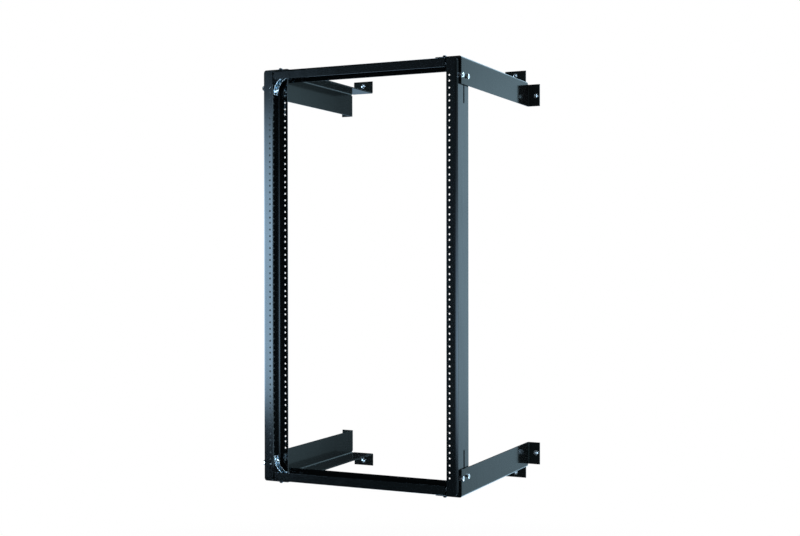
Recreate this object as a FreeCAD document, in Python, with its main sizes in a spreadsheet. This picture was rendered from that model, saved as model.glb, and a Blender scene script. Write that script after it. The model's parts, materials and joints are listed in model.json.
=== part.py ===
import FreeCAD, Part
import math
import os

import Sketcher

"""Wall-mount open equipment rack, 20 units high.

Two drilled channel uprights and two cross channels make a rectangular frame. Four angle arms hold it
off the wall, each ending in two bent tabs with a wall screw. Millimetres throughout.

Rack frame: X to the right seen from the front, Y back towards the wall, Z up. The pieces are drawn
about the middle of the frame's front plane. The placements then carry the origin to the wall face of
the lower left arm's side tab, just above its screw.
"""

SIZES = {
    # Equipment opening and the hole rows, to the 19 inch rack standard
    "rack_units": 20,
    "unit_pitch": 44.45,
    "hole_step": 15.875,
    "hole_rows_apart": 465.1,
    "rail_hole": 4.5,
    "hole_inset": 7.2,
    # Frame of bent channels
    "frame_end": 46.2,
    "frame_depth": 73.0,
    "frame_gauge": 2.5,
    "upright_width": 26.2,
    "upright_bend": 6.5,
    "upright_corner": 10.0,
    "flange_corner": 3.5,
    "beam_lip": 20.8,
    "beam_bend": 3.5,
    "beam_end_gap": 3.9,
    # Slot in each upright's web, in front of the rear side bolt
    "slot_width": 7.0,
    "slot_length": 44.0,
    "slot_drop": 52.7,
    "slot_before_bolt": 9.3,
    # Wall arms
    "wall_distance": 475.0,
    "arm_gauge": 3.0,
    "arm_standoff": 1.7,
    "shelf_standoff": 1.2,
    "arm_front": 14.8,
    "arm_web": 62.5,
    "arm_shelf": 63.7,
    "arm_bend": 5.0,
    "side_tab": 29.8,
    "side_tab_gap": 2.3,
    "end_tab": 56.0,
    "end_tab_rise": 30.6,
    "relief_depth": 8.0,
    # Bolts through the arm and the upright, the rear one through the gusset too
    "side_bolt_front": 17.0,
    "rear_bolt_to_back": 23.5,
    "side_bolt_drop": 38.7,
    # Round-headed front bolt through the arm's shelf and the beam
    "shelf_bolt_inset": 11.8,
    "shelf_bolt_front": 19.6,
    # Wall screws
    "side_screw_out": 20.2,
    "side_screw_drop": 31.9,
    "end_screw_rise": 18.0,
    "screw_reach": 20.0,
    "screw_shoulder_width": 6.4,
    "screw_shoulder_end": 1.0,
    "origin_above_screw": 14.0,
    # Fasteners
    "bolt_shank": 6.0,
    "hole_play": 0.3,
    "hex_across_flats": 10.0,
    "head_height": 4.5,
    "nut_height": 5.0,
    "washer_width": 13.0,
    "washer_height": 1.5,
    "shank_end": 2.5,
    "screw_washer_width": 12.4,
    "screw_washer_height": 1.2,
    "screw_head_width": 9.0,
    "screw_head_height": 3.4,
    "screw_recess_width": 4.0,
    "screw_recess_depth": 1.8,
    # Corner gussets
    "gusset_leg": 49.0,
    "gusset_gauge": 2.5,
    "gusset_cheek": 4.2,
    "gusset_round": 41.0,
    "gusset_width": 20.0,
    # How far a cutting outline starts outside the metal
    "overshoot": 1.0,
}

SIDES = {"left": -1, "right": 1}
TIERS = {"lower": -1, "upper": 1}
HOLES_PER_UNIT = 3
ALONG_X = FreeCAD.Vector(1, 0, 0)
ALONG_Y = FreeCAD.Vector(0, 1, 0)
ALONG_Z = FreeCAD.Vector(0, 0, 1)
CLOSE = 1e-4

doc = FreeCAD.newDocument("wall_rack")


class Size:
    """A length that knows both its number and its formula in the sheet's cells."""

    def __init__(self, text, number):
        self.text = text
        self.number = number

    def joined(self, sign, other, number):
        other_text = other.text if isinstance(other, Size) else repr(other)
        return Size(f"({self.text} {sign} {other_text})", number)

    def __add__(self, other):
        return self.joined("+", other, self.number + plain(other))

    def __sub__(self, other):
        return self.joined("-", other, self.number - plain(other))

    def __mul__(self, other):
        return self.joined("*", other, self.number * plain(other))

    def __truediv__(self, other):
        return self.joined("/", other, self.number / plain(other))

    def __neg__(self):
        return self * -1


def plain(value):
    return value.number if isinstance(value, Size) else float(value)


def make_sheet():
    """Writes the driving dimensions, one named cell each, and returns them as sizes."""
    sheet = doc.addObject("Spreadsheet::Sheet", "Sizes")
    for row, (alias, number) in enumerate(SIZES.items(), start=1):
        sheet.set(f"A{row}", alias)
        sheet.set(f"B{row}", str(number))
        sheet.setAlias(f"B{row}", alias)
    doc.recompute()
    return {alias: Size(f"Sizes.{alias}", float(number)) for alias, number in SIZES.items()}


S = make_sheet()

# Places that several pieces share
ZERO = Size("0", 0.0)
BEYOND = S["overshoot"]
HALF_HEIGHT = S["rack_units"] * S["unit_pitch"] / 2 + S["frame_end"]
OPENING_EDGE = S["hole_rows_apart"] / 2 - S["hole_inset"]
WEB_OUTER = OPENING_EDGE + S["upright_width"]
WEB_INNER = WEB_OUTER - S["frame_gauge"]
BEAM_INNER = HALF_HEIGHT - S["frame_gauge"]
ARM_INNER = WEB_OUTER + S["arm_standoff"]
ARM_OUTER = ARM_INNER + S["arm_gauge"]
SHELF_FOOT = HALF_HEIGHT + S["shelf_standoff"]
SHELF_TOP = SHELF_FOOT + S["arm_gauge"]
SHELF_EDGE = ARM_OUTER - S["arm_shelf"]
WEB_FOOT = SHELF_TOP - S["arm_web"]
SIDE_TAB_TOP = HALF_HEIGHT - S["side_tab_gap"]
SHELF_STOP = SHELF_EDGE + S["end_tab"]
TAB_FACE = S["wall_distance"] - S["arm_gauge"]
SIDE_BOLT_REAR = S["frame_depth"] - S["rear_bolt_to_back"]
SIDE_BOLT_Z = HALF_HEIGHT - S["side_bolt_drop"]
GUSSET_BOLT_IN = BEAM_INNER - SIDE_BOLT_Z
GUSSET_FRONT = SIDE_BOLT_REAR - S["gusset_width"] / 2
SHELF_BOLTS = {
    "front": (OPENING_EDGE - S["shelf_bolt_inset"], S["shelf_bolt_front"]),
    "rear": (WEB_INNER - GUSSET_BOLT_IN, SIDE_BOLT_REAR),
}
SIDE_BOLTS = {"front": S["side_bolt_front"], "rear": SIDE_BOLT_REAR}
SIDE_SCREW_X = ARM_OUTER + S["side_screw_out"]
SIDE_SCREW_Z = HALF_HEIGHT - S["side_screw_drop"]
END_SCREW_X = SHELF_EDGE + S["end_tab"] / 2
END_SCREW_Z = SHELF_TOP + S["end_screw_rise"]
BOLT_HOLE = S["bolt_shank"] + S["hole_play"] * 2
ORIGIN_Z = SIDE_SCREW_Z - S["origin_above_screw"]


def place(piece, x, y, z, rotation=FreeCAD.Rotation()):
    """Puts a piece drawn about the frame's front centre at its place from the row's origin."""
    piece.Placement = FreeCAD.Placement(FreeCAD.Vector(), rotation)
    piece.setExpression("Placement.Base.x", (SIDE_SCREW_X + x).text)
    piece.setExpression("Placement.Base.y", (-S["wall_distance"] + y).text)
    piece.setExpression("Placement.Base.z", (ORIGIN_Z + z).text)


def new_body(label):
    body = doc.addObject("PartDesign::Body", label)
    body.Label = label
    return body


def new_sketch(body, role, offset):
    """A sketch on one of the body's own planes, moved along the plane's normal by offset."""
    plane = [f for f in body.Origin.OriginFeatures if f.Role == role][0]
    sketch = body.newObject("Sketcher::SketchObject", body.Label + "_sketch")
    sketch.AttachmentSupport = (plane, "")
    sketch.MapMode = "FlatFace"
    sketch.setExpression("AttachmentOffset.Base.z", offset.text)
    return sketch


def tie(sketch, kind, size, *where):
    """Adds one dimension to a sketch and binds it to the sheet."""
    index = sketch.addConstraint(Sketcher.Constraint(kind, *where, size.number))
    sketch.setExpression(f"Constraints[{index}]", size.text)


def tie_point(sketch, geometry, end, point):
    tie(sketch, "DistanceX", point[0], -1, 1, geometry, end)
    tie(sketch, "DistanceY", point[1], -1, 1, geometry, end)


def vector(point):
    return FreeCAD.Vector(point[0].number, point[1].number, 0)


def draw_polygon(sketch, points):
    """A closed outline of straight lines, each corner tied to the sheet."""
    count = len(points)
    for index in range(count):
        start = vector(points[index])
        end = vector(points[(index + 1) % count])
        sketch.addGeometry(Part.LineSegment(start, end), False)
    for index in range(count):
        sketch.addConstraint(Sketcher.Constraint("Coincident", index, 2, (index + 1) % count, 1))
        tie_point(sketch, index, 1, points[index])


def draw_circle(sketch, centre, width):
    circle = Part.Circle(vector(centre), ALONG_Z, width.number / 2)
    index = sketch.addGeometry(circle, False)
    tie_point(sketch, index, 3, centre)
    tie(sketch, "Diameter", width, index)


def draw_slot(sketch, low, high, width):
    """A slot along the sketch's Y, round at both ends, between the two end centres."""
    radius = width.number / 2
    side = FreeCAD.Vector(radius, 0, 0)
    bottom = Part.ArcOfCircle(Part.Circle(vector(low), ALONG_Z, radius), math.pi, 2 * math.pi)
    top = Part.ArcOfCircle(Part.Circle(vector(high), ALONG_Z, radius), 0, math.pi)
    first = sketch.addGeometry(bottom, False)
    right = sketch.addGeometry(Part.LineSegment(vector(low) + side, vector(high) + side), False)
    last = sketch.addGeometry(top, False)
    left = sketch.addGeometry(Part.LineSegment(vector(high) - side, vector(low) - side), False)
    for one, two in ((first, right), (right, last), (last, left), (left, first)):
        sketch.addConstraint(Sketcher.Constraint("Tangent", one, 2, two, 1))
    tie_point(sketch, first, 3, low)
    tie_point(sketch, last, 3, high)
    tie(sketch, "Radius", width / 2, first)


def pad(body, sketch, length, backwards=False):
    feature = body.newObject("PartDesign::Pad", body.Label + "_pad")
    feature.Profile = sketch
    feature.setExpression("Length", length.text)
    feature.Reversed = backwards
    body.Tip = feature
    doc.recompute()
    return feature


def pocket(body, sketch, depth=None, backwards=False):
    """Cuts a sketch's outline to a depth, or right through, and makes sure that it removed metal."""
    before = body.Shape.Volume
    feature = body.newObject("PartDesign::Pocket", body.Label + "_pocket")
    feature.Profile = sketch
    if depth is None:
        feature.Type = "ThroughAll"
    else:
        feature.setExpression("Length", depth.text)
    feature.Reversed = backwards
    body.Tip = feature
    doc.recompute()
    if before - body.Shape.Volume < CLOSE:
        raise RuntimeError(f"{feature.Name} in {body.Label} cuts nothing")
    return feature


def round_edges(body, radius, along, **place_of):
    """Rounds every straight edge of the body's last shape that runs along an axis at a given place."""
    base = body.Tip
    names = []
    for number, edge in enumerate(base.Shape.Edges, start=1):
        if edge.Curve.TypeId != "Part::GeomLine" or len(edge.Vertexes) != 2:
            continue
        ends = [vertex.Point for vertex in edge.Vertexes]
        runs_along = abs((ends[1] - ends[0]).normalize() * along) > 1 - CLOSE
        if runs_along and all(lies_at(end, place_of) for end in ends):
            names.append(f"Edge{number}")
    if not names:
        raise RuntimeError(f"{body.Label} has no edge to round by {radius.text}")
    feature = body.newObject("PartDesign::Fillet", body.Label + "_bend")
    feature.Base = (base, names)
    feature.setExpression("Radius", radius.text)
    body.Tip = feature
    doc.recompute()


def lies_at(point, place_of):
    return all(abs(getattr(point, axis) - size.number) < CLOSE for axis, size in place_of.items())


def rail_levels():
    """Height of the top hole of the pattern and the two end holes beyond it."""
    half_units = S["rack_units"] * S["unit_pitch"] / 2
    edge_to_hole = (S["unit_pitch"] - S["hole_step"] * 2) / 2
    return half_units - edge_to_hole, half_units + edge_to_hole


def drill_rail(body):
    """The standard rows of three holes in every unit, through the front and rear flanges."""
    across = S["hole_rows_apart"] / 2
    top, beyond = rail_levels()
    sketch = new_sketch(body, "XZ_Plane", BEYOND)
    for step in range(HOLES_PER_UNIT):
        draw_circle(sketch, (across, top - S["hole_step"] * step), S["rail_hole"])
    cut = pocket(body, sketch)
    rows = body.newObject("PartDesign::LinearPattern", body.Label + "_rows")
    rows.Originals = [cut]
    rows.Direction = (sketch, ["V_Axis"])
    rows.Reversed = True
    rows.setExpression("Length", (S["unit_pitch"] * (S["rack_units"] - 1)).text)
    rows.Occurrences = SIZES["rack_units"]
    body.Tip = rows
    doc.recompute()
    ends = new_sketch(body, "XZ_Plane", BEYOND)
    draw_circle(ends, (across, beyond), S["rail_hole"])
    draw_circle(ends, (across, -beyond), S["rail_hole"])
    pocket(body, ends)


def draw_upright(label):
    """A channel open towards the equipment, with a bent web outside and two drilled flanges."""
    body = new_body(label)
    gauge = S["frame_gauge"]
    depth = S["frame_depth"]
    section = new_sketch(body, "XY_Plane", -HALF_HEIGHT)
    draw_polygon(
        section,
        [
            (OPENING_EDGE, ZERO),
            (WEB_OUTER, ZERO),
            (WEB_OUTER, depth),
            (OPENING_EDGE, depth),
            (OPENING_EDGE, depth - gauge),
            (WEB_INNER, depth - gauge),
            (WEB_INNER, gauge),
            (OPENING_EDGE, gauge),
        ],
    )
    pad(body, section, HALF_HEIGHT * 2)
    round_edges(body, S["upright_bend"], ALONG_Z, x=WEB_OUTER)
    round_edges(body, S["upright_bend"] - gauge, ALONG_Z, x=WEB_INNER)
    trim_corners(body)
    for tier in TIERS.values():
        round_edges(body, S["flange_corner"], ALONG_Y, x=OPENING_EDGE, z=HALF_HEIGHT * tier)
    cut_slots(body)
    bolts = new_sketch(body, "YZ_Plane", WEB_OUTER + BEYOND)
    for tier in TIERS.values():
        for back in SIDE_BOLTS.values():
            draw_circle(bolts, (back, SIDE_BOLT_Z * tier), BOLT_HOLE)
    pocket(body, bolts)
    drill_rail(body)
    return body


def cut_slots(body):
    """One upright slot near each end of the web, partly behind the arm."""
    slots = new_sketch(body, "YZ_Plane", WEB_OUTER + BEYOND)
    back = SIDE_BOLT_REAR - S["slot_before_bolt"]
    outer_end = HALF_HEIGHT - S["slot_drop"]
    inner_end = outer_end - S["slot_length"]
    draw_slot(slots, (back, inner_end), (back, outer_end), S["slot_width"])
    draw_slot(slots, (back, -outer_end), (back, -inner_end), S["slot_width"])
    pocket(body, slots)


def trim_corners(body):
    """Rounds off the top and bottom of both bends, seen from the front."""
    bend = S["upright_bend"]
    corner = S["upright_corner"]
    for start, backwards in ((BEYOND, False), (-(S["frame_depth"] + BEYOND), True)):
        sketch = new_sketch(body, "XZ_Plane", start)
        for tier in TIERS.values():
            draw_corner(sketch, WEB_OUTER, HALF_HEIGHT * tier, corner, tier)
        pocket(body, sketch, bend + BEYOND, backwards)


def draw_corner(sketch, x, z, radius, tier):
    """The waste outside a rounded corner whose square corner is at x and z."""
    arc_centre = (x - radius, z - radius * tier)
    circle = Part.Circle(vector(arc_centre), ALONG_Z, radius.number)
    angles = (0, math.pi / 2) if tier > 0 else (3 * math.pi / 2, 2 * math.pi)
    arc = sketch.addGeometry(Part.ArcOfCircle(circle, *angles), False)
    side_end, top_end = (1, 2) if tier > 0 else (2, 1)
    side = (x, z - radius * tier)
    top = (x - radius, z)
    far_x = x + BEYOND
    far_z = z + BEYOND * tier
    outline = [side, (far_x, side[1]), (far_x, far_z), (top[0], far_z), top]
    lines = []
    for start, end in zip(outline, outline[1:]):
        lines.append(sketch.addGeometry(Part.LineSegment(vector(start), vector(end)), False))
    for one, two in zip(lines, lines[1:]):
        sketch.addConstraint(Sketcher.Constraint("Coincident", one, 2, two, 1))
    sketch.addConstraint(Sketcher.Constraint("Coincident", lines[0], 1, arc, side_end))
    sketch.addConstraint(Sketcher.Constraint("Coincident", lines[-1], 2, arc, top_end))
    for line, corner in zip(lines, outline):
        tie_point(sketch, line, 1, corner)
    tie_point(sketch, lines[-1], 2, top)
    tie(sketch, "Radius", radius, arc)


def draw_beam(label, tier):
    """A cross channel open towards the equipment, its web running on between the uprights' flanges."""
    body = new_body(label)
    gauge = S["frame_gauge"]
    depth = S["frame_depth"]
    lip = HALF_HEIGHT - S["beam_lip"]
    lip_end = OPENING_EDGE - S["beam_end_gap"]
    play = S["hole_play"]
    section = new_sketch(body, "YZ_Plane", -lip_end)
    draw_polygon(
        section,
        [
            (ZERO, lip * tier),
            (ZERO, HALF_HEIGHT * tier),
            (depth, HALF_HEIGHT * tier),
            (depth, lip * tier),
            (depth - gauge, lip * tier),
            (depth - gauge, BEAM_INNER * tier),
            (gauge, BEAM_INNER * tier),
            (gauge, lip * tier),
        ],
    )
    pad(body, section, lip_end * 2)
    round_edges(body, S["beam_bend"], ALONG_X, z=HALF_HEIGHT * tier)
    round_edges(body, S["beam_bend"] - gauge, ALONG_X, z=BEAM_INNER * tier)
    tongue = new_sketch(body, "XY_Plane", BEAM_INNER * tier)
    front = gauge + play
    back = depth - gauge - play
    draw_polygon(tongue, [(-WEB_INNER, front), (WEB_INNER, front), (WEB_INNER, back), (-WEB_INNER, back)])
    pad(body, tongue, gauge, backwards=tier < 0)
    holes = new_sketch(body, "XY_Plane", (HALF_HEIGHT + BEYOND) * tier)
    for side in SIDES.values():
        for across, back in SHELF_BOLTS.values():
            draw_circle(holes, (across * side, back), BOLT_HOLE)
    pocket(body, holes, gauge + BEYOND * 2, backwards=tier < 0)
    return body


def draw_arm(label, side, tier):
    """An angle whose shelf lies over the frame and whose web stands beside it, tabbed at the wall."""
    body = new_body(label)
    gauge = S["arm_gauge"]
    section = new_sketch(body, "XZ_Plane", -S["arm_front"])
    draw_polygon(
        section,
        [
            (SHELF_EDGE * side, SHELF_FOOT * tier),
            (SHELF_EDGE * side, SHELF_TOP * tier),
            (ARM_OUTER * side, SHELF_TOP * tier),
            (ARM_OUTER * side, WEB_FOOT * tier),
            (ARM_INNER * side, WEB_FOOT * tier),
            (ARM_INNER * side, SHELF_FOOT * tier),
        ],
    )
    pad(body, section, S["wall_distance"] - S["arm_front"], backwards=True)
    round_edges(body, S["arm_bend"], ALONG_Y, x=ARM_OUTER * side, z=SHELF_TOP * tier)
    round_edges(body, S["arm_bend"] - gauge, ALONG_Y, x=ARM_INNER * side, z=SHELF_FOOT * tier)
    cut_relief(body, side, tier)
    bend_side_tab(body, side, tier)
    bend_end_tab(body, side, tier)
    drill_arm(body, side, tier)
    return body


def cut_relief(body, side, tier):
    """Frees the two tabs from each other at the wall end."""
    corner = new_sketch(body, "XZ_Plane", -(S["wall_distance"] - S["relief_depth"]))
    beyond = ARM_OUTER + BEYOND
    above = SHELF_TOP + BEYOND
    draw_polygon(
        corner,
        [
            (SHELF_STOP * side, SIDE_TAB_TOP * tier),
            (beyond * side, SIDE_TAB_TOP * tier),
            (beyond * side, above * tier),
            (SHELF_STOP * side, above * tier),
        ],
    )
    pocket(body, corner, S["relief_depth"] + BEYOND)


def tab_plate(body, corners):
    sketch = new_sketch(body, "XZ_Plane", -TAB_FACE)
    (left, low), (right, high) = corners
    draw_polygon(sketch, [(left, low), (right, low), (right, high), (left, high)])
    pad(body, sketch, S["arm_gauge"], backwards=True)


def bend_side_tab(body, side, tier):
    """The web's end, bent outwards against the wall."""
    gauge = S["arm_gauge"]
    tab_tip = ARM_OUTER + S["side_tab"]
    tab_plate(body, ((ARM_INNER * side, WEB_FOOT * tier), (tab_tip * side, SIDE_TAB_TOP * tier)))
    round_edges(body, S["arm_bend"] - gauge, ALONG_Z, x=ARM_OUTER * side, y=TAB_FACE)
    round_edges(body, S["arm_bend"], ALONG_Z, x=ARM_INNER * side, y=S["wall_distance"])


def bend_end_tab(body, side, tier):
    """The shelf's end, bent away from the frame against the wall."""
    gauge = S["arm_gauge"]
    tab_tip = SHELF_TOP + S["end_tab_rise"]
    tab_plate(body, ((SHELF_EDGE * side, SHELF_FOOT * tier), (SHELF_STOP * side, tab_tip * tier)))
    round_edges(body, S["arm_bend"] - gauge, ALONG_X, z=SHELF_TOP * tier, y=TAB_FACE)
    round_edges(body, S["arm_bend"], ALONG_X, z=SHELF_FOOT * tier, y=S["wall_distance"])


def drill_arm(body, side, tier):
    depth = S["arm_gauge"] + BEYOND * 2
    web = new_sketch(body, "YZ_Plane", (ARM_OUTER + BEYOND) * side)
    for back in SIDE_BOLTS.values():
        draw_circle(web, (back, SIDE_BOLT_Z * tier), BOLT_HOLE)
    pocket(body, web, depth, backwards=side < 0)
    shelf = new_sketch(body, "XY_Plane", (SHELF_TOP + BEYOND) * tier)
    for across, back in SHELF_BOLTS.values():
        draw_circle(shelf, (across * side, back), BOLT_HOLE)
    pocket(body, shelf, depth, backwards=tier < 0)
    tabs = new_sketch(body, "XZ_Plane", -(TAB_FACE - BEYOND))
    draw_circle(tabs, (SIDE_SCREW_X * side, SIDE_SCREW_Z * tier), BOLT_HOLE)
    draw_circle(tabs, (END_SCREW_X * side, END_SCREW_Z * tier), BOLT_HOLE)
    pocket(body, tabs, depth)


def draw_gusset(label, side, tier):
    """A pressed corner brace: an angled back between two cheeks with quarter-round edges."""
    body = new_body(label)
    leg = S["gusset_leg"]
    cheek = S["gusset_cheek"]
    foot = leg - cheek - S["gusset_round"]
    sketch = new_sketch(body, "XZ_Plane", -GUSSET_FRONT)
    corner = (WEB_INNER * side, BEAM_INNER * tier)

    def inwards(x, z):
        return ((WEB_INNER - x) * side, (BEAM_INNER - z) * tier)

    arc_centre = inwards(leg - foot, leg - foot)
    outline = [
        inwards(leg - foot, cheek),
        inwards(leg, cheek),
        inwards(leg, ZERO),
        corner,
        inwards(ZERO, leg),
        inwards(cheek, leg),
        inwards(cheek, leg - foot),
    ]
    lines = []
    for start, end in zip(outline, outline[1:]):
        lines.append(sketch.addGeometry(Part.LineSegment(vector(start), vector(end)), False))
    for one, two in zip(lines, lines[1:]):
        sketch.addConstraint(Sketcher.Constraint("Coincident", one, 2, two, 1))
    for line, point in zip(lines, outline):
        tie_point(sketch, line, 1, point)
    tie_point(sketch, lines[-1], 2, outline[-1])
    start_angle, first_end, last_end = {
        (1, 1): (0, 1, 2),
        (-1, 1): (math.pi / 2, 2, 1),
        (-1, -1): (math.pi, 1, 2),
        (1, -1): (3 * math.pi / 2, 2, 1),
    }[(side, tier)]
    circle = Part.Circle(vector(arc_centre), ALONG_Z, S["gusset_round"].number)
    arc = sketch.addGeometry(Part.ArcOfCircle(circle, start_angle, start_angle + math.pi / 2), False)
    sketch.addConstraint(Sketcher.Constraint("Coincident", lines[-1], 2, arc, first_end))
    sketch.addConstraint(Sketcher.Constraint("Coincident", lines[0], 1, arc, last_end))
    tie(sketch, "Radius", S["gusset_round"], arc)
    pad(body, sketch, S["gusset_width"], backwards=True)
    gauge = S["gusset_gauge"]
    hollow = new_sketch(body, "XZ_Plane", -(GUSSET_FRONT + gauge))
    near = inwards(gauge, gauge)
    far = inwards(leg + BEYOND, leg + BEYOND)
    draw_polygon(hollow, [near, (far[0], near[1]), far, (near[0], far[1])])
    pocket(body, hollow, S["gusset_width"] - gauge * 2)
    drill_gusset(body, side, tier)
    return body


def drill_gusset(body, side, tier):
    """A bolt hole in each leg, in line with the rear bolts of the arm."""
    depth = S["gusset_gauge"] + BEYOND * 2
    web = new_sketch(body, "YZ_Plane", (WEB_INNER + BEYOND) * side)
    draw_circle(web, (SIDE_BOLT_REAR, SIDE_BOLT_Z * tier), BOLT_HOLE)
    pocket(body, web, depth, backwards=side < 0)
    shelf = new_sketch(body, "XY_Plane", (BEAM_INNER + BEYOND) * tier)
    across, back = SHELF_BOLTS["rear"]
    draw_circle(shelf, (across * side, back), BOLT_HOLE)
    pocket(body, shelf, depth, backwards=tier < 0)


def cylinder(label, width, height, base):
    piece = doc.addObject("Part::Cylinder", label)
    piece.setExpression("Radius", (width / 2).text)
    piece.setExpression("Height", height.text)
    piece.setExpression("Placement.Base.z", base.text)
    return piece


def hexagon(label, height, base):
    piece = doc.addObject("Part::Prism", label)
    piece.Polygon = 6
    piece.setExpression("Circumradius", f"{S['hex_across_flats'].text} / 2 / cos(30 deg)")
    piece.setExpression("Height", height.text)
    piece.setExpression("Placement.Base.z", base.text)
    return piece


def fused(label, pieces):
    whole = doc.addObject("Part::MultiFuse", label)
    whole.Shapes = pieces
    whole.Refine = True
    whole.Label = label
    return whole


def draw_shank(label, grip):
    """A bolt's shank below z = 0, with a washer and a nut past the grip."""
    washer_foot = grip + S["washer_height"]
    nut_foot = washer_foot + S["nut_height"]
    end = nut_foot + S["shank_end"]
    return [
        cylinder(label + "_shank", S["bolt_shank"], end, -end),
        cylinder(label + "_washer", S["washer_width"], S["washer_height"], -washer_foot),
        hexagon(label + "_nut", S["nut_height"], -nut_foot),
    ]


def draw_side_bolt(label, grip):
    """A hexagon bolt. Its head stands on z = 0, and the grip lies below."""
    return fused(label, [hexagon(label + "_head", S["head_height"], ZERO)] + draw_shank(label, grip))


def draw_shelf_bolt(label, grip):
    """A round-headed bolt whose collar keeps the arm's shelf off the beam."""
    collar_foot = S["arm_gauge"] + S["shelf_standoff"]
    solid = fused(
        label + "_solid",
        [
            cylinder(label + "_head", S["screw_head_width"], S["screw_head_height"], ZERO),
            cylinder(label + "_collar", S["washer_width"], S["shelf_standoff"], -collar_foot),
        ]
        + draw_shank(label, grip),
    )
    return cut_recess(label, solid, S["screw_head_height"])


def cut_recess(label, solid, top):
    """The round drive recess in a head whose end is at the height top."""
    depth = S["screw_recess_depth"]
    recess = cylinder(label + "_recess", S["screw_recess_width"], depth + BEYOND, top - depth)
    screw = doc.addObject("Part::Cut", label)
    screw.Base = solid
    screw.Tool = recess
    screw.Label = label
    return screw


def draw_spacer(label):
    """The ring that keeps an arm's web off the upright."""
    ring = cylinder(label + "_ring", S["washer_width"], S["arm_standoff"], ZERO)
    bore = cylinder(label + "_bore", BOLT_HOLE, S["arm_standoff"] + BEYOND * 2, -BEYOND)
    spacer = doc.addObject("Part::Cut", label)
    spacer.Base = ring
    spacer.Tool = bore
    spacer.Label = label
    return spacer


def draw_wall_screw(label):
    """A round-headed screw on its washer, seated on z = 0. Its plain shoulder fills the tab's hole."""
    reach = S["arm_gauge"] + S["screw_reach"]
    shoulder = S["arm_gauge"] + S["screw_shoulder_end"]
    washer = S["screw_washer_height"]
    solid = fused(
        label + "_solid",
        [
            cylinder(label + "_shank", S["bolt_shank"], reach, -reach),
            cylinder(label + "_shoulder", S["screw_shoulder_width"], shoulder, -shoulder),
            cylinder(label + "_washer", S["screw_washer_width"], washer, ZERO),
            cylinder(label + "_head", S["screw_head_width"], S["screw_head_height"], washer),
        ],
    )
    return cut_recess(label, solid, washer + S["screw_head_height"])


def facing(direction):
    """The turn that carries a fastener's own axis to a direction."""
    return FreeCAD.Rotation(ALONG_Z, direction)


def build_corner(side_name, side, tier_name, tier):
    """The arm, the brace and the fasteners at one corner of the frame."""
    corner = f"{tier_name}_{side_name}"
    arm = draw_arm(f"{corner}_arm", side, tier)
    gusset = draw_gusset(f"{corner}_gusset", side, tier)
    pieces = [arm, gusset]
    for piece in pieces:
        place(piece, ZERO, ZERO, ZERO)
    pieces += bolt_arm(corner, side, tier)
    side_screw = draw_wall_screw(f"{corner}_side_wall_screw")
    place(side_screw, SIDE_SCREW_X * side, TAB_FACE, SIDE_SCREW_Z * tier, facing(-ALONG_Y))
    end_screw = draw_wall_screw(f"{corner}_end_wall_screw")
    place(end_screw, END_SCREW_X * side, TAB_FACE, END_SCREW_Z * tier, facing(-ALONG_Y))
    return pieces + [side_screw, end_screw]


def bolt_arm(corner, side, tier):
    """Two bolts with spacers through the arm's web and two bolts through its shelf."""
    pieces = []
    clamped = {"front": ZERO, "rear": S["gusset_gauge"]}
    outwards = facing(ALONG_X * side)
    for row, back in SIDE_BOLTS.items():
        grip = S["arm_gauge"] + S["arm_standoff"] + S["frame_gauge"] + clamped[row]
        bolt = draw_side_bolt(f"{corner}_{row}_side_bolt", grip)
        place(bolt, ARM_OUTER * side, back, SIDE_BOLT_Z * tier, outwards)
        spacer = draw_spacer(f"{corner}_{row}_spacer")
        place(spacer, WEB_OUTER * side, back, SIDE_BOLT_Z * tier, outwards)
        pieces += [bolt, spacer]
    for row, (across, back) in SHELF_BOLTS.items():
        grip = S["arm_gauge"] + S["shelf_standoff"] + S["frame_gauge"] + clamped[row]
        bolt = draw_shelf_bolt(f"{corner}_{row}_shelf_bolt", grip)
        place(bolt, across * side, back, SHELF_TOP * tier, facing(ALONG_Z * tier))
        pieces.append(bolt)
    return pieces


def build_rack():
    right = draw_upright("right_upright")
    place(right, ZERO, ZERO, ZERO)
    left = draw_upright("left_upright")
    place(left, ZERO, ZERO, ZERO, FreeCAD.Rotation(ALONG_Y, 180))
    pieces = [left, right]
    for label, tier in (("top_beam", 1), ("bottom_beam", -1)):
        beam = draw_beam(label, tier)
        place(beam, ZERO, ZERO, ZERO)
        pieces.append(beam)
    for side_name, side in SIDES.items():
        for tier_name, tier in TIERS.items():
            pieces += build_corner(side_name, side, tier_name, tier)
    return pieces


def check(pieces):
    """Stops if any feature failed or any piece isn't one sound solid."""
    for item in doc.Objects:
        if "Invalid" in item.State or "Error" in item.State:
            raise RuntimeError(f"{item.Name} failed: {item.State}")
    for piece in pieces:
        shape = piece.Shape
        if shape.isNull() or not shape.isValid() or len(shape.Solids) != 1:
            raise RuntimeError(f"{piece.Label} isn't one valid solid")


def main():
    pieces = build_rack()
    doc.recompute()
    check(pieces)
    os.makedirs("parts", exist_ok=True)
    for piece in pieces:
        piece.Shape.exportStep(os.path.join("parts", piece.Label + ".step"))
        box = piece.Shape.BoundBox
        print(f"{piece.Label} {box.XLength:.2f} x {box.YLength:.2f} x {box.ZLength:.2f}")


main()
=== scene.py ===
"""Dresses the wall-mount rack: black powder coat, zinc hardware, studio light and the photo's camera."""

import json
import math

import bmesh
import bpy
from mathutils import Matrix, Vector

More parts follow.
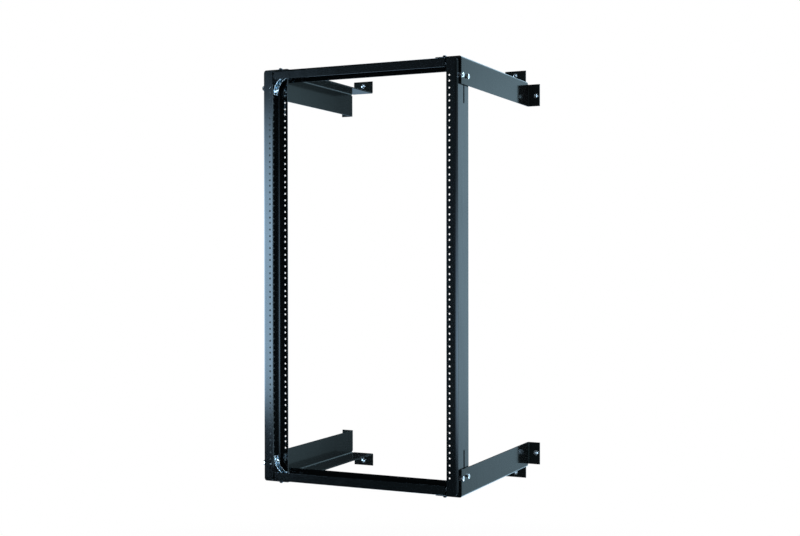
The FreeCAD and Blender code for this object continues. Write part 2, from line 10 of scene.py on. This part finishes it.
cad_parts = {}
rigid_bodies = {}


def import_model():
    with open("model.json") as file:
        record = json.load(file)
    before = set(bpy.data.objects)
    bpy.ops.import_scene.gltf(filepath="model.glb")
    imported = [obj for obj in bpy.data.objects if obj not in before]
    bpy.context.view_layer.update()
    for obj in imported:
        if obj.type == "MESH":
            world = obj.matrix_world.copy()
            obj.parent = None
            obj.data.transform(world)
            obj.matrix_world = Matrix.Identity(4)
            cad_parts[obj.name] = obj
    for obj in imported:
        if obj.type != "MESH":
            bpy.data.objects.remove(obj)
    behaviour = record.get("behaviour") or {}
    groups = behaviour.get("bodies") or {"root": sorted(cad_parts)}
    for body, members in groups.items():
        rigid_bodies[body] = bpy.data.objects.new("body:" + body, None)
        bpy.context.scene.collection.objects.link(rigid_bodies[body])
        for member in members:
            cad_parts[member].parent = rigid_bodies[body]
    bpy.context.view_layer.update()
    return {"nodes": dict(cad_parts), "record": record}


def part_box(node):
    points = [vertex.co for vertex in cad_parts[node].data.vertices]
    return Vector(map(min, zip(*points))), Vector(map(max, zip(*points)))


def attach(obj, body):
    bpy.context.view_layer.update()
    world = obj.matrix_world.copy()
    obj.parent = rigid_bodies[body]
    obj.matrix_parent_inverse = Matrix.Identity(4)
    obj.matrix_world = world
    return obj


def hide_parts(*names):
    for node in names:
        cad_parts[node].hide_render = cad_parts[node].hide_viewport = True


MM = 0.001
BODY = "root"
SIDES = {"left": -1, "right": 1}
TIERS = {"lower": -1, "upper": 1}

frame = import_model()

# Fastener sizes in millimetres, as the CAD has them
HEX_FLATS = 10.0
HEAD_HEIGHT = 4.5
NUT_HEIGHT = 5.0
WASHER_WIDTH = 13.0
WASHER_HEIGHT = 1.5
SHANK = 6.0
SHANK_END = 2.5
SCREW_WASHER_WIDTH = 12.4
SCREW_WASHER_HEIGHT = 1.2
SCREW_HEAD_WIDTH = 9.0
SCREW_HEAD_HEIGHT = 3.4
SCREW_REACH = 23.0
SCREW_SHOULDER = 6.4
SCREW_SHOULDER_END = 4.0
# Head height, the collar's foot and height, and finish
BOLTS = {
    "side": (HEAD_HEIGHT, None, "zinc_plate"),
    "shelf": (SCREW_HEAD_HEIGHT, (-4.2, 1.2), "black_oxide"),
}

# The fasteners' fine detail in millimetres and degrees, which only this script has
AROUND = 48
CHAMFER_FACE = 0.95
CHAMFER_ANGLE = 30
WASHER_EDGE = 0.18
THREAD_PITCH = 1.0
THREAD_DEPTH = 0.55
THREAD_AROUND = 32
THREAD_RINGS_PER_TURN = 8
THREAD_TIP_LENGTH = 0.7
THREAD_TIP_SLOPE = 0.9
THREAD_IN_NUT = 0.5
OVERLAP = 0.2
DOME_STEPS = 8
DOME_FOOT = 0.97
DOME_SKIRT = 0.5
DOME_FLAT_RADIUS = 2.6
SOCKET_FLATS = 4.0
SOCKET_DEPTH = 1.9
SOCKET_CONE = 0.4
SHARP_ANGLE = 28
# No two fasteners stand at the same angle. The steps are multiplied by the number of objects so far
HEX_TURN = 60
BOLT_TURN_STEP = 17
SCREW_TURN_STEP = 23

# The camera, as fitted to the photo: metres from the middle of the frame's front, and degrees
CAMERA_OFFSET = (1.27991, -2.49963, 0.03989)
CAMERA_ANGLES = (89.579, 0.062, 25.060)
CAMERA_LENS = 54.57
CAMERA_SENSOR = 36.0

# The studio that reflections see. The backdrop's level by azimuth, and how it changes with elevation
ROUND_LEVELS = (
    (-180, 0.03), (-120, 0.03), (-55, 0.03), (-40, 0.0), (-18, 0.02), (0, 1.2), (18, 1.25),
    (21, 1.6), (22.9, 1.92), (24.2, 0.08), (27.9, 0.03), (28.5, 0.45), (29.4, 1.1),
    (30.5, 1.3), (40, 0.8), (60, 0.45), (90, 0.4), (130, 0.06), (180, 0.03),
)
HEIGHT_LEVELS = (
    (-90, 2.2), (-40, 2.2), (-30, 1.5), (-20, 1.3), (-13, 0.6), (-9, 0.7), (-6, 0.95), (0, 1.0),
    (7.5, 1.0), (9, 0.8), (13, 1.0), (20, 1.3), (30, 1.5), (40, 2.0), (90, 2.0),
)
# The softboxes' levels by elevation
STRIP_LEVELS = (
    (-8.1, 0.0), (-7.5, 0.03), (-7.0, 0.22), (-6.5, 0.65), (-5.8, 0.93), (-5, 1.0), (-3, 1.02),
    (0, 1.08), (1.2, 1.17), (2.8, 1.0), (5.1, 0.67), (6.3, 0.4), (7.0, 0.17), (7.6, 0.05),
    (8.4, 0.02), (14, 0.0),
)
FRONT_LEVELS = ((-9.5, 0.0), (-8.0, 0.5), (-5.0, 1.0), (-3.0, 0.85), (0, 0.5), (4, 0.1), (8, 0.0))
FLANGE_LEVELS = (
    (-14, 0.1), (-11.5, 0.3), (-9, 0.35), (-7.8, 1.0), (7.6, 1.0), (8.6, 0.45), (11, 0.4), (14, 0.1),
)
LOW_LEVELS = ((-90, 0.0), (-40, 0.6), (-12, 1.0), (-5, 0.9), (-1, 0.0), (90, 0.0))
CORNER_LEVELS = (
    (-60, 0.0), (-45, 1.0), (-24, 1.0), (-18, 0.0), (18, 0.0), (24, 1.0), (45, 1.0), (60, 0.0),
)
# Strength, the four azimuths between which each softbox fades in and out, and its levels
SOFTBOXES = (
    (10.0, (-151.6, -150.8, -85, -55), STRIP_LEVELS),
    (5.6, (48, 62, 138, 151), FRONT_LEVELS),
    (3.0, (151, 162, 179, 180), FRONT_LEVELS),
    (0.155, (-180, -179, -145, -140), FLANGE_LEVELS),
    (0.55, (-70, -55, -22, -12), LOW_LEVELS),
    (3.5, (-36, -26, -5, 5), CORNER_LEVELS),
    (11.0, (24, 34, 75, 100), CORNER_LEVELS),
)
COOL_WHITE = (0.55, 0.82, 1.0)
SOFTBOX_BLUE = (0.49, 0.75, 1.0)
WHITE = (1.0, 1.0, 1.0)

# The floor: half its side, its depth below the rack's middle, and where it fades to white, in metres
FLOOR_REACH = 3.6
FLOOR_DROP = 1.30
FLOOR_FADE = (1.6, 3.6)
FLOOR_GREY = (0.9, 0.9, 0.9)

# Most of a noise texture's values lie between these
NOISE_RANGE = (0.3, 0.7)
# The Mix node's sockets for colours
MIX_FIRST = 6
MIX_SECOND = 7
MIX_RESULT = 2

# What differs between the frame's powder coat and the arms' copy of it, whose weaker, green-tinted
# reflections are painted shade and a painted sheen, and between the zinc of the fasteners and of the gussets,
# whose edges carry a painted highlight
FRAME_COAT = {
    "specular": 0.5,
    "tint": WHITE,
    "roughness": 0.09,
    "dark": (0.0016, 0.0026, 0.0032),
    "light": (0.0028, 0.0042, 0.0050),
}
# The arms' coat is the frame's coat with a slightly lighter base and weaker, green-tinted reflections:
# painted shade and a painted sheen
ARM_COAT_SHADED = {
    "specular": 0.25,
    "tint": (0.82, 1.0, 0.85),
    "roughness": 0.115,
    "dark": (0.0036, 0.0046, 0.0052),
    "light": (0.0048, 0.0062, 0.0070),
}
FASTENER_ZINC = {"dark": (0.86, 0.86, 0.86), "light": (0.95, 0.94, 0.93), "painted_edge_highlight": False}
GUSSET_ZINC = {"dark": (0.42, 0.54, 0.62), "light": (0.58, 0.70, 0.76), "painted_edge_highlight": True}
# How far the coat's roughness varies by patch and by rub mark
COAT_PATCHES = (-0.008, 0.008)
COAT_RUBS = 0.02
# The zinc's roughness by cloud, how far its drawn lines vary it, and what faces and the edges under the
# painted highlight add
ZINC_CLOUDS = (0.08, 0.13)
ZINC_LINES = (-0.02, 0.02)
ZINC_EDGES = (0.05, 0.5)
# The width of the gussets' painted white edge highlight in metres, and the cosines of the edge's turn between
# which its mask rises
EDGE_HIGHLIGHT_WIDTH = 0.0014
EDGE_TURN = (0.99, 0.85)


def rack_centre():
    """The middle of the frame's front plane, which the photograph's camera is given from."""
    left_low, left_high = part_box("left_upright")
    right_low, right_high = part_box("right_upright")
    return Vector(((left_low.x + right_high.x) / 2, left_low.y, (left_low.z + left_high.z) / 2))


CENTRE = rack_centre()


def add_camera():
    """The photograph's viewpoint, to the right of the rack and a little above its middle."""
    data = bpy.data.cameras.new("camera")
    data.sensor_width = CAMERA_SENSOR
    data.lens = CAMERA_LENS
    camera = bpy.data.objects.new("camera", data)
    bpy.context.scene.collection.objects.link(camera)
    camera.location = CENTRE + Vector(CAMERA_OFFSET)
    camera.rotation_euler = [math.radians(angle) for angle in CAMERA_ANGLES]
    bpy.context.scene.camera = camera


class Nodes:
    """Short calls for building one node tree."""

    def __init__(self, tree):
        self.tree = tree

    def add(self, kind, **settings):
        """A new node with some of its properties set."""
        node = self.tree.nodes.new(kind)
        for name, value in settings.items():
            setattr(node, name, value)
        return node

    def link(self, source, target):
        """Joins an output to an input."""
        self.tree.links.new(source, target)

    def noise(self, scale, detail=4.0, stretch=(1.0, 1.0, 1.0)):
        """Noise over the object's own coordinates, which are metres."""
        place = self.add("ShaderNodeTexCoord")
        mapping = self.add("ShaderNodeMapping")
        mapping.inputs["Scale"].default_value = stretch
        texture = self.add("ShaderNodeTexNoise")
        texture.inputs["Scale"].default_value = scale
        texture.inputs["Detail"].default_value = detail
        texture.inputs["Roughness"].default_value = 0.55
        self.link(place.outputs["Object"], mapping.inputs["Vector"])
        self.link(mapping.outputs["Vector"], texture.inputs["Vector"])
        return texture.outputs["Fac"]

    def spread(self, source, old, new=(0.0, 1.0), interpolation="LINEAR"):
        """Moves a value from one range to another."""
        node = self.add("ShaderNodeMapRange", interpolation_type=interpolation)
        node.inputs["From Min"].default_value, node.inputs["From Max"].default_value = old
        node.inputs["To Min"].default_value, node.inputs["To Max"].default_value = new
        self.link(source, node.inputs["Value"])
        return node.outputs["Result"]

    def mixed_colour(self, fac, first, second):
        """A blend of two colours, each of them given as three numbers or as an output."""
        node = self.add("ShaderNodeMix", data_type="RGBA")
        self.link(fac, node.inputs["Factor"])
        for index, colour in ((MIX_FIRST, first), (MIX_SECOND, second)):
            if isinstance(colour, tuple):
                node.inputs[index].default_value = (*colour, 1.0)
            else:
                self.link(colour, node.inputs[index])
        return node.outputs[MIX_RESULT]

    def edge_mask(self, radius):
        """One where rounding the edges would turn the surface, fading out beside them."""
        rounded = self.add("ShaderNodeBevel", samples=8)
        rounded.inputs["Radius"].default_value = radius
        surface = self.add("ShaderNodeNewGeometry")
        along = self.add("ShaderNodeVectorMath", operation="DOT_PRODUCT")
        self.link(rounded.outputs["Normal"], along.inputs[0])
        self.link(surface.outputs["True Normal"], along.inputs[1])
        return self.spread(along.outputs["Value"], EDGE_TURN)

    def window(self, source, limits):
        """One inside the two inner limits, fading to nothing at the two outer ones."""
        low, full, hold, high = limits
        rise = self.spread(source, (low, full), interpolation="SMOOTHSTEP")
        fall = self.spread(source, (high, hold), interpolation="SMOOTHSTEP")
        return self.compute("MULTIPLY", rise, fall)

    def curve(self, source, levels):
        """A level for each angle, straight between the angles of the table."""
        first, last = levels[0][0], levels[-1][0]
        ramp = self.add("ShaderNodeValToRGB")
        elements = ramp.color_ramp.elements
        elements.remove(elements[-1])
        for index, (angle, level) in enumerate(levels):
            place = (angle - first) / (last - first)
            element = elements[0] if index == 0 else elements.new(place)
            element.position = place
            element.color = (level, level, level, 1)
        self.link(self.spread(source, (first, last)), ramp.inputs["Fac"])
        return ramp.outputs["Color"]

    def compute(self, operation, *values):
        """A Math node on numbers and outputs."""
        node = self.add("ShaderNodeMath", operation=operation)
        for socket, value in zip(node.inputs, values):
            if isinstance(value, (int, float)):
                socket.default_value = value
            else:
                self.link(value, socket)
        return node.outputs["Value"]


def new_material(name):
    """A material with one Principled shader, its node builder and that shader."""
    material = bpy.data.materials.new(name)
    material.use_nodes = True
    material.node_tree.nodes.clear()
    nodes = Nodes(material.node_tree)
    output = nodes.add("ShaderNodeOutputMaterial")
    shader = nodes.add("ShaderNodeBsdfPrincipled")
    nodes.link(shader.outputs["BSDF"], output.inputs["Surface"])
    return material, nodes, shader


def rough_surface(nodes, shader, height, distance, strength, edge):
    """Edges that look softly rounded, with a fine bump over them. Lengths are metres."""
    rounded = nodes.add("ShaderNodeBevel", samples=4)
    rounded.inputs["Radius"].default_value = edge
    bump = nodes.add("ShaderNodeBump")
    bump.inputs["Strength"].default_value = strength
    bump.inputs["Distance"].default_value = distance
    nodes.link(rounded.outputs["Normal"], bump.inputs["Normal"])
    nodes.link(height, bump.inputs["Height"])
    nodes.link(bump.outputs["Normal"], shader.inputs["Normal"])


def powder_coat(name, specular, tint, roughness, dark, light):
    """Fine orange-peel black powder coat with a little dust and faint rub marks."""
    material, nodes, shader = new_material(name)
    patches = nodes.noise(scale=9.0, detail=5.0)
    dust = nodes.spread(patches, (0.35, 0.75))
    nodes.link(nodes.mixed_colour(dust, dark, light), shader.inputs["Base Color"])
    rubs = nodes.noise(scale=60.0, detail=3.0, stretch=(1.0, 1.0, 0.12))
    by_patch = nodes.spread(patches, NOISE_RANGE, COAT_PATCHES)
    by_rub = nodes.spread(rubs, NOISE_RANGE, (roughness, roughness + COAT_RUBS))
    nodes.link(nodes.compute("ADD", by_patch, by_rub), shader.inputs["Roughness"])
    shader.inputs["Specular IOR Level"].default_value = specular
    shader.inputs["Specular Tint"].default_value = (*tint, 1)
    shader.inputs["IOR"].default_value = 1.5
    grain = nodes.noise(scale=1400.0, detail=2.0)
    peel = nodes.noise(scale=420.0, detail=2.0)
    height = nodes.compute("ADD", nodes.compute("MULTIPLY", grain, 0.5), peel)
    rough_surface(nodes, shader, height, distance=0.00002, strength=0.2, edge=0.0006)
    return material


def zinc(name, dark, light, painted_edge_highlight):
    """Zinc plate with cloudy passivation, fine drawn lines and, for sheet parts, a painted white highlight
    along the edges.
    """
    material, nodes, shader = new_material(name)
    clouds = nodes.noise(scale=70.0, detail=5.0)
    colour = nodes.mixed_colour(nodes.spread(clouds, (0.35, 0.7)), dark, light)
    lines = nodes.noise(scale=500.0, detail=3.0, stretch=(1.0, 1.0, 0.08))
    by_cloud = nodes.spread(clouds, NOISE_RANGE, ZINC_CLOUDS)
    roughness = nodes.compute("ADD", nodes.spread(lines, NOISE_RANGE, ZINC_LINES), by_cloud)
    # Painted highlight: a white band along every edge, mixed into the base colour, stands in for light
    # catching the rims
    if painted_edge_highlight:
        edges = nodes.edge_mask(EDGE_HIGHLIGHT_WIDTH)
        colour = nodes.mixed_colour(edges, colour, WHITE)
        roughness = nodes.compute("ADD", roughness, nodes.spread(edges, (0.0, 1.0), ZINC_EDGES))
    shader.inputs["Metallic"].default_value = 0.95
    nodes.link(colour, shader.inputs["Base Color"])
    nodes.link(roughness, shader.inputs["Roughness"])
    rough_surface(nodes, shader, lines, distance=0.00002, strength=0.15, edge=0.0003)
    return material


def black_oxide():
    """Oiled black oxide steel, worn towards grey."""
    material, nodes, shader = new_material("black_oxide")
    wear = nodes.spread(nodes.noise(scale=160.0), (0.52, 0.72))
    colour = nodes.mixed_colour(wear, (0.035, 0.037, 0.042), (0.13, 0.13, 0.135))
    nodes.link(colour, shader.inputs["Base Color"])
    shader.inputs["Metallic"].default_value = 1.0
    nodes.link(nodes.spread(wear, (0.0, 1.0), (0.30, 0.42)), shader.inputs["Roughness"])
    rough_surface(nodes, shader, nodes.noise(scale=900.0), distance=0.00003, strength=0.25, edge=0.0004)
    return material


def black_nylon():
    """Moulded black nylon."""
    material, nodes, shader = new_material("black_nylon")
    shade = nodes.spread(nodes.noise(scale=220.0), (0.35, 0.7))
    colour = nodes.mixed_colour(shade, (0.010, 0.010, 0.011), (0.016, 0.016, 0.017))
    nodes.link(colour, shader.inputs["Base Color"])
    nodes.link(nodes.spread(shade, (0.0, 1.0), (0.48, 0.6)), shader.inputs["Roughness"])
    rough_surface(nodes, shader, nodes.noise(scale=700.0), distance=0.00004, strength=0.3, edge=0.0004)
    return material


def paint_nodes():
    """Gives every CAD node the record's finish for it. The arms get a copy of the coat whose weaker,
    green-tinted reflections are painted shade and a painted sheen, and the gussets get their own zinc with a
    painted edge highlight.
    """
    shades = {
        # Painted shade and sheen: the arms' copy of the coat reflects less, and with a green tint
        "_arm": powder_coat("black_powder_coat_arms_shaded", **ARM_COAT_SHADED),
        "_gusset": zinc("zinc_plate_gussets", **GUSSET_ZINC),
    }
    for entry in frame["record"]["subparts"]:
        material = MATERIALS[entry["material_slot"]]
        for ending, shade in shades.items():
            if entry["node"].endswith(ending):
                material = shade
        data = frame["nodes"][entry["node"]].data
        data.materials.clear()
        data.materials.append(material)


def ring(mesh, radius_at, z, count=AROUND, rise_at=None):
    """One closed ring of vertices, its radius and its rise above z given by the angle."""
    verts = []
    for step in range(count):
        angle = 2 * math.pi * step / count
        radius = radius_at(angle) * MM
        level = (z + rise_at(angle)) * MM if rise_at else z * MM
        verts.append(mesh.verts.new((radius * math.cos(angle), radius * math.sin(angle), level)))
    return verts


def bridge(mesh, lower, upper):
    """A band of faces between two rings."""
    count = len(lower)
    for index in range(count):
        after = (index + 1) % count
        mesh.faces.new((lower[index], lower[after], upper[after], upper[index]))


def cap(mesh, verts, z, upwards):
    """A fan of faces from a ring to one vertex on the axis."""
    middle = mesh.verts.new((0, 0, z * MM))
    count = len(verts)
    for index in range(count):
        one, two = verts[index], verts[(index + 1) % count]
        mesh.faces.new((one, two, middle) if upwards else (two, one, middle))


def closed(mesh, rings, low, high):
    """A closed solid of stacked rings, bottom to top, its two caps centred at the heights low and high."""
    for lower, upper in zip(rings, rings[1:]):
        bridge(mesh, lower, upper)
    cap(mesh, rings[0], low, upwards=False)
    cap(mesh, rings[-1], high, upwards=True)


def circle(radius):
    """The same radius at every angle."""
    return lambda angle: radius


def hexagon(flats):
    """Distance to a hexagon's side by angle."""
    sector = math.pi / 3
    return lambda angle: flats / 2 / math.cos((angle % sector) - sector / 2)


def turned(mesh, profile):
    """A closed solid from (radius function, height) pairs, bottom to top."""
    rings = [ring(mesh, radius_at, z) for radius_at, z in profile]
    closed(mesh, rings, profile[0][1], profile[-1][1])


def chamfered_hex(mesh, flats, low, high, both_ends):
    """A hexagon whose corners are turned off to a cone at the top, and for a nut at the foot too."""
    hex_radius = hexagon(flats)
    face = flats / 2 * CHAMFER_FACE
    slope = math.tan(math.radians(CHAMFER_ANGLE))

    def rise(angle):
        return (hex_radius(angle) - face) * slope

    def drop(angle):
        return -rise(angle)

    if both_ends:
        rings = [ring(mesh, circle(face), low), ring(mesh, hex_radius, low, rise_at=rise)]
    else:
        rings = [ring(mesh, hex_radius, low)]
    rings.append(ring(mesh, hex_radius, high, rise_at=drop))
    rings.append(ring(mesh, circle(face), high))
    closed(mesh, rings, low, high)


def washer(mesh, width, low, height):
    """A flat disc with small chamfers. The shank fills its hole."""
    radius = width / 2
    rim = circle(radius)
    face = circle(radius - WASHER_EDGE)
    top = low + height
    turned(mesh, [(face, low), (rim, low + WASHER_EDGE), (rim, top - WASHER_EDGE), (face, top)])


def thread(mesh, low, high):
    """A screw thread as one sleeve whose radius follows the helix, with a chamfered end at the foot."""
    count = int(round((high - low) / THREAD_PITCH * THREAD_RINGS_PER_TURN))
    rings = []
    for level in range(count + 1):
        z = low + (high - low) * level / count
        tip_cut = max(0.0, THREAD_TIP_LENGTH - (z - low)) * THREAD_TIP_SLOPE

        def radius_at(angle, z=z, tip_cut=tip_cut):
            phase = (z / THREAD_PITCH - angle / (2 * math.pi)) % 1.0
            cut = abs(2 * phase - 1) * THREAD_DEPTH
            return SHANK / 2 - max(cut, tip_cut)

        rings.append(ring(mesh, radius_at, z, count=THREAD_AROUND))
    closed(mesh, rings, low, high)


def button_head(mesh, base):
    """A low dome with a hexagon socket."""
    radius = SCREW_HEAD_WIDTH / 2
    profile = [(circle(radius * DOME_FOOT), base)]
    for step in range(DOME_STEPS + 1):
        turn = math.pi / 2 * step / DOME_STEPS
        reach = DOME_FLAT_RADIUS + (radius - DOME_FLAT_RADIUS) * math.cos(turn)
        height = DOME_SKIRT + (SCREW_HEAD_HEIGHT - DOME_SKIRT) * math.sin(turn)
        profile.append((circle(reach), base + height))
    top = base + SCREW_HEAD_HEIGHT
    bottom = top - SOCKET_DEPTH
    socket = hexagon(SOCKET_FLATS)
    profile += [(socket, top), (socket, bottom)]
    rings = [ring(mesh, radius_at, z) for radius_at, z in profile]
    closed(mesh, rings, base, bottom - SOCKET_CONE)


def finish_mesh(mesh, name):
    """The finished mesh data, smooth apart from its sharp edges."""
    data = bpy.data.meshes.new(name)
    bmesh.ops.recalc_face_normals(mesh, faces=mesh.faces)
    mesh.to_mesh(data)
    mesh.free()
    for polygon in data.polygons:
        polygon.use_smooth = True
    data.set_sharp_from_angle(angle=math.radians(SHARP_ANGLE))
    return data


def bolt_mesh(name, grip, collar):
    """A bolt with washer and nut. Its head stands on z = 0: a hexagon, or round where it has a collar."""
    mesh = bmesh.new()
    if collar:
        button_head(mesh, 0.0)
        washer(mesh, WASHER_WIDTH, *collar)
    else:
        chamfered_hex(mesh, HEX_FLATS, 0.0, HEAD_HEIGHT, both_ends=False)
    foot = -(grip + WASHER_HEIGHT)
    nut_foot = foot - NUT_HEIGHT
    washer(mesh, WASHER_WIDTH, foot, WASHER_HEIGHT)
    chamfered_hex(mesh, HEX_FLATS, nut_foot, foot, both_ends=True)
    thread(mesh, nut_foot - SHANK_END, nut_foot + THREAD_IN_NUT)
    turned(mesh, [(circle(SHANK / 2), -grip - OVERLAP), (circle(SHANK / 2), OVERLAP)])
    return finish_mesh(mesh, name)


def wall_screw_mesh():
    """A button-head screw on its washer, seated on z = 0, with its shoulder and threaded shank below."""
    mesh = bmesh.new()
    shoulder = circle(SCREW_SHOULDER / 2)
    washer(mesh, SCREW_WASHER_WIDTH, 0.0, SCREW_WASHER_HEIGHT)
    button_head(mesh, SCREW_WASHER_HEIGHT)
    turned(mesh, [(shoulder, -SCREW_SHOULDER_END), (shoulder, OVERLAP)])
    thread(mesh, -SCREW_REACH, -SCREW_SHOULDER_END + OVERLAP)
    return finish_mesh(mesh, "wall_screw")


def seat_of(node, outwards, behind):
    """The point on a fastener's axis where it seats, behind its outermost end."""
    low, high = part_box(node)
    middle = (low + high) / 2
    reach = (high - low) / 2
    axis = Vector((abs(outwards.x), abs(outwards.y), abs(outwards.z)))
    return middle + outwards * (reach.dot(axis) - behind * MM)


def fastener(node, data, outwards, behind, slot, turn_step):
    """Puts a fastener in a CAD node's place, facing outwards."""
    turn = math.radians(turn_step * len(bpy.data.objects) % HEX_TURN)
    piece = bpy.data.objects.new(f"{node}_turned", data)
    bpy.context.scene.collection.objects.link(piece)
    rotation = Vector((0, 0, 1)).rotation_difference(outwards).to_matrix().to_4x4()
    seat = Matrix.Translation(seat_of(node, outwards, behind))
    piece.matrix_world = seat @ rotation @ Matrix.Rotation(turn, 4, "Z")
    piece.data.materials.clear()
    piece.data.materials.append(MATERIALS[slot])
    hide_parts(node)
    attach(piece, BODY)


def fit_bolts(corner, side, tier, meshes):
    """One corner's side and shelf bolts. Bolts of one kind and row share a mesh."""
    for kind, outwards in (("side", Vector((side, 0, 0))), ("shelf", Vector((0, 0, tier)))):
        head, collar, slot = BOLTS[kind]
        for row in ("front", "rear"):
            node = f"{corner}_{row}_{kind}_bolt"
            low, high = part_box(node)
            length = max(high - low) / MM
            grip = length - head - WASHER_HEIGHT - NUT_HEIGHT - SHANK_END
            if (kind, row) not in meshes:
                meshes[kind, row] = bolt_mesh(f"{row}_{kind}_bolt", grip, collar)
            fastener(node, meshes[kind, row], outwards, head, slot, BOLT_TURN_STEP)


def fit_fasteners():
    """Turned and threaded fasteners in place of the plain solids."""
    meshes = {}
    screw = wall_screw_mesh()
    screw_head = SCREW_WASHER_HEIGHT + SCREW_HEAD_HEIGHT
    for side_name, side in SIDES.items():
        for tier_name, tier in TIERS.items():
            corner = f"{tier_name}_{side_name}"
            fit_bolts(corner, side, tier, meshes)
            for kind in ("side", "end"):
                node = f"{corner}_{kind}_wall_screw"
                fastener(node, screw, Vector((0, -1, 0)), screw_head, "zinc_plate", SCREW_TURN_STEP)


def add_world():
    """A studio for the reflections: a white backdrop behind and softboxes in front, all a cool white.

    Angles are degrees: azimuth from the wall side, right positive, and elevation. Other rays see plain white.
    """
    world = bpy.data.worlds.new("studio")
    bpy.context.scene.world = world
    world.use_nodes = True
    world.node_tree.nodes.clear()
    nodes = Nodes(world.node_tree)
    output = nodes.add("ShaderNodeOutputWorld")
    place = nodes.add("ShaderNodeTexCoord")
    split = nodes.add("ShaderNodeSeparateXYZ")
    nodes.link(place.outputs["Generated"], split.inputs["Vector"])
    azimuth = nodes.compute("DEGREES", nodes.compute("ARCTAN2", split.outputs["X"], split.outputs["Y"]))
    elevation = nodes.compute("DEGREES", nodes.compute("ARCSINE", split.outputs["Z"]))
    by_azimuth = nodes.curve(azimuth, ROUND_LEVELS)
    by_elevation = nodes.curve(elevation, HEIGHT_LEVELS)
    backdrop = nodes.compute("MULTIPLY", by_azimuth, by_elevation)
    boxes = 0.0
    for strength, across, upwards in SOFTBOXES:
        box = nodes.compute("MULTIPLY", nodes.window(azimuth, across), nodes.curve(elevation, upwards))
        boxes = nodes.compute("MULTIPLY_ADD", box, strength, boxes)
    both = nodes.add("ShaderNodeVectorMath", operation="ADD")
    for socket, level, colour in zip(both.inputs, (backdrop, boxes), (COOL_WHITE, SOFTBOX_BLUE)):
        tint = nodes.add("ShaderNodeVectorMath", operation="SCALE")
        tint.inputs[0].default_value = colour
        nodes.link(level, tint.inputs["Scale"])
        nodes.link(tint.outputs["Vector"], socket)
    studio = nodes.add("ShaderNodeBackground")
    nodes.link(both.outputs["Vector"], studio.inputs["Color"])
    plain = nodes.add("ShaderNodeBackground")
    plain.inputs["Color"].default_value = (*WHITE, 1)
    plain.inputs["Strength"].default_value = 1.0
    rays = nodes.add("ShaderNodeLightPath")
    mirror = nodes.add("ShaderNodeMixShader")
    nodes.link(rays.outputs["Is Glossy Ray"], mirror.inputs["Fac"])
    nodes.link(plain.outputs["Background"], mirror.inputs[1])
    nodes.link(studio.outputs["Background"], mirror.inputs[2])
    nodes.link(mirror.outputs["Shader"], output.inputs["Surface"])


def floor_material():
    """Pale grey under the rack, turning to a glowing white farther out."""
    material, nodes, shader = new_material("pale_floor")
    shader.inputs["Base Color"].default_value = (*FLOOR_GREY, 1)
    shader.inputs["Roughness"].default_value = 0.9
    shader.inputs["Specular IOR Level"].default_value = 0.1
    glow = nodes.add("ShaderNodeEmission")
    glow.inputs["Color"].default_value = (*WHITE, 1)
    glow.inputs["Strength"].default_value = 1.0
    place = nodes.add("ShaderNodeTexCoord")
    length = nodes.add("ShaderNodeVectorMath", operation="LENGTH")
    nodes.link(place.outputs["Object"], length.inputs[0])
    mix = nodes.add("ShaderNodeMixShader")
    far = nodes.spread(length.outputs["Value"], FLOOR_FADE, interpolation="SMOOTHSTEP")
    nodes.link(far, mix.inputs["Fac"])
    nodes.link(shader.outputs["BSDF"], mix.inputs[1])
    nodes.link(glow.outputs["Emission"], mix.inputs[2])
    output = next(node for node in nodes.tree.nodes if node.bl_idname == "ShaderNodeOutputMaterial")
    nodes.link(mix.outputs["Shader"], output.inputs["Surface"])
    return material


def add_floor():
    """A pale floor well below the rack, which reflections don't see."""
    data = bpy.data.meshes.new("floor")
    corners = [(-1, -1), (1, -1), (1, 1), (-1, 1)]
    data.from_pydata([(x * FLOOR_REACH, y * FLOOR_REACH, 0) for x, y in corners], [], [(0, 1, 2, 3)])
    floor = bpy.data.objects.new("floor", data)
    bpy.context.scene.collection.objects.link(floor)
    floor.location = (CENTRE.x, CENTRE.y, CENTRE.z - FLOOR_DROP)
    data.materials.append(floor_material())
    floor.visible_glossy = False


# The finish for each of the record's material slots
MATERIALS = {
    "black_powder_coat": powder_coat("black_powder_coat", **FRAME_COAT),
    "zinc_plate": zinc("zinc_plate", **FASTENER_ZINC),
    "black_oxide": black_oxide(),
    "black_nylon": black_nylon(),
}
add_camera()
paint_nodes()
fit_fasteners()
add_world()
add_floor()
bpy.context.scene.view_settings.view_transform = "Standard"
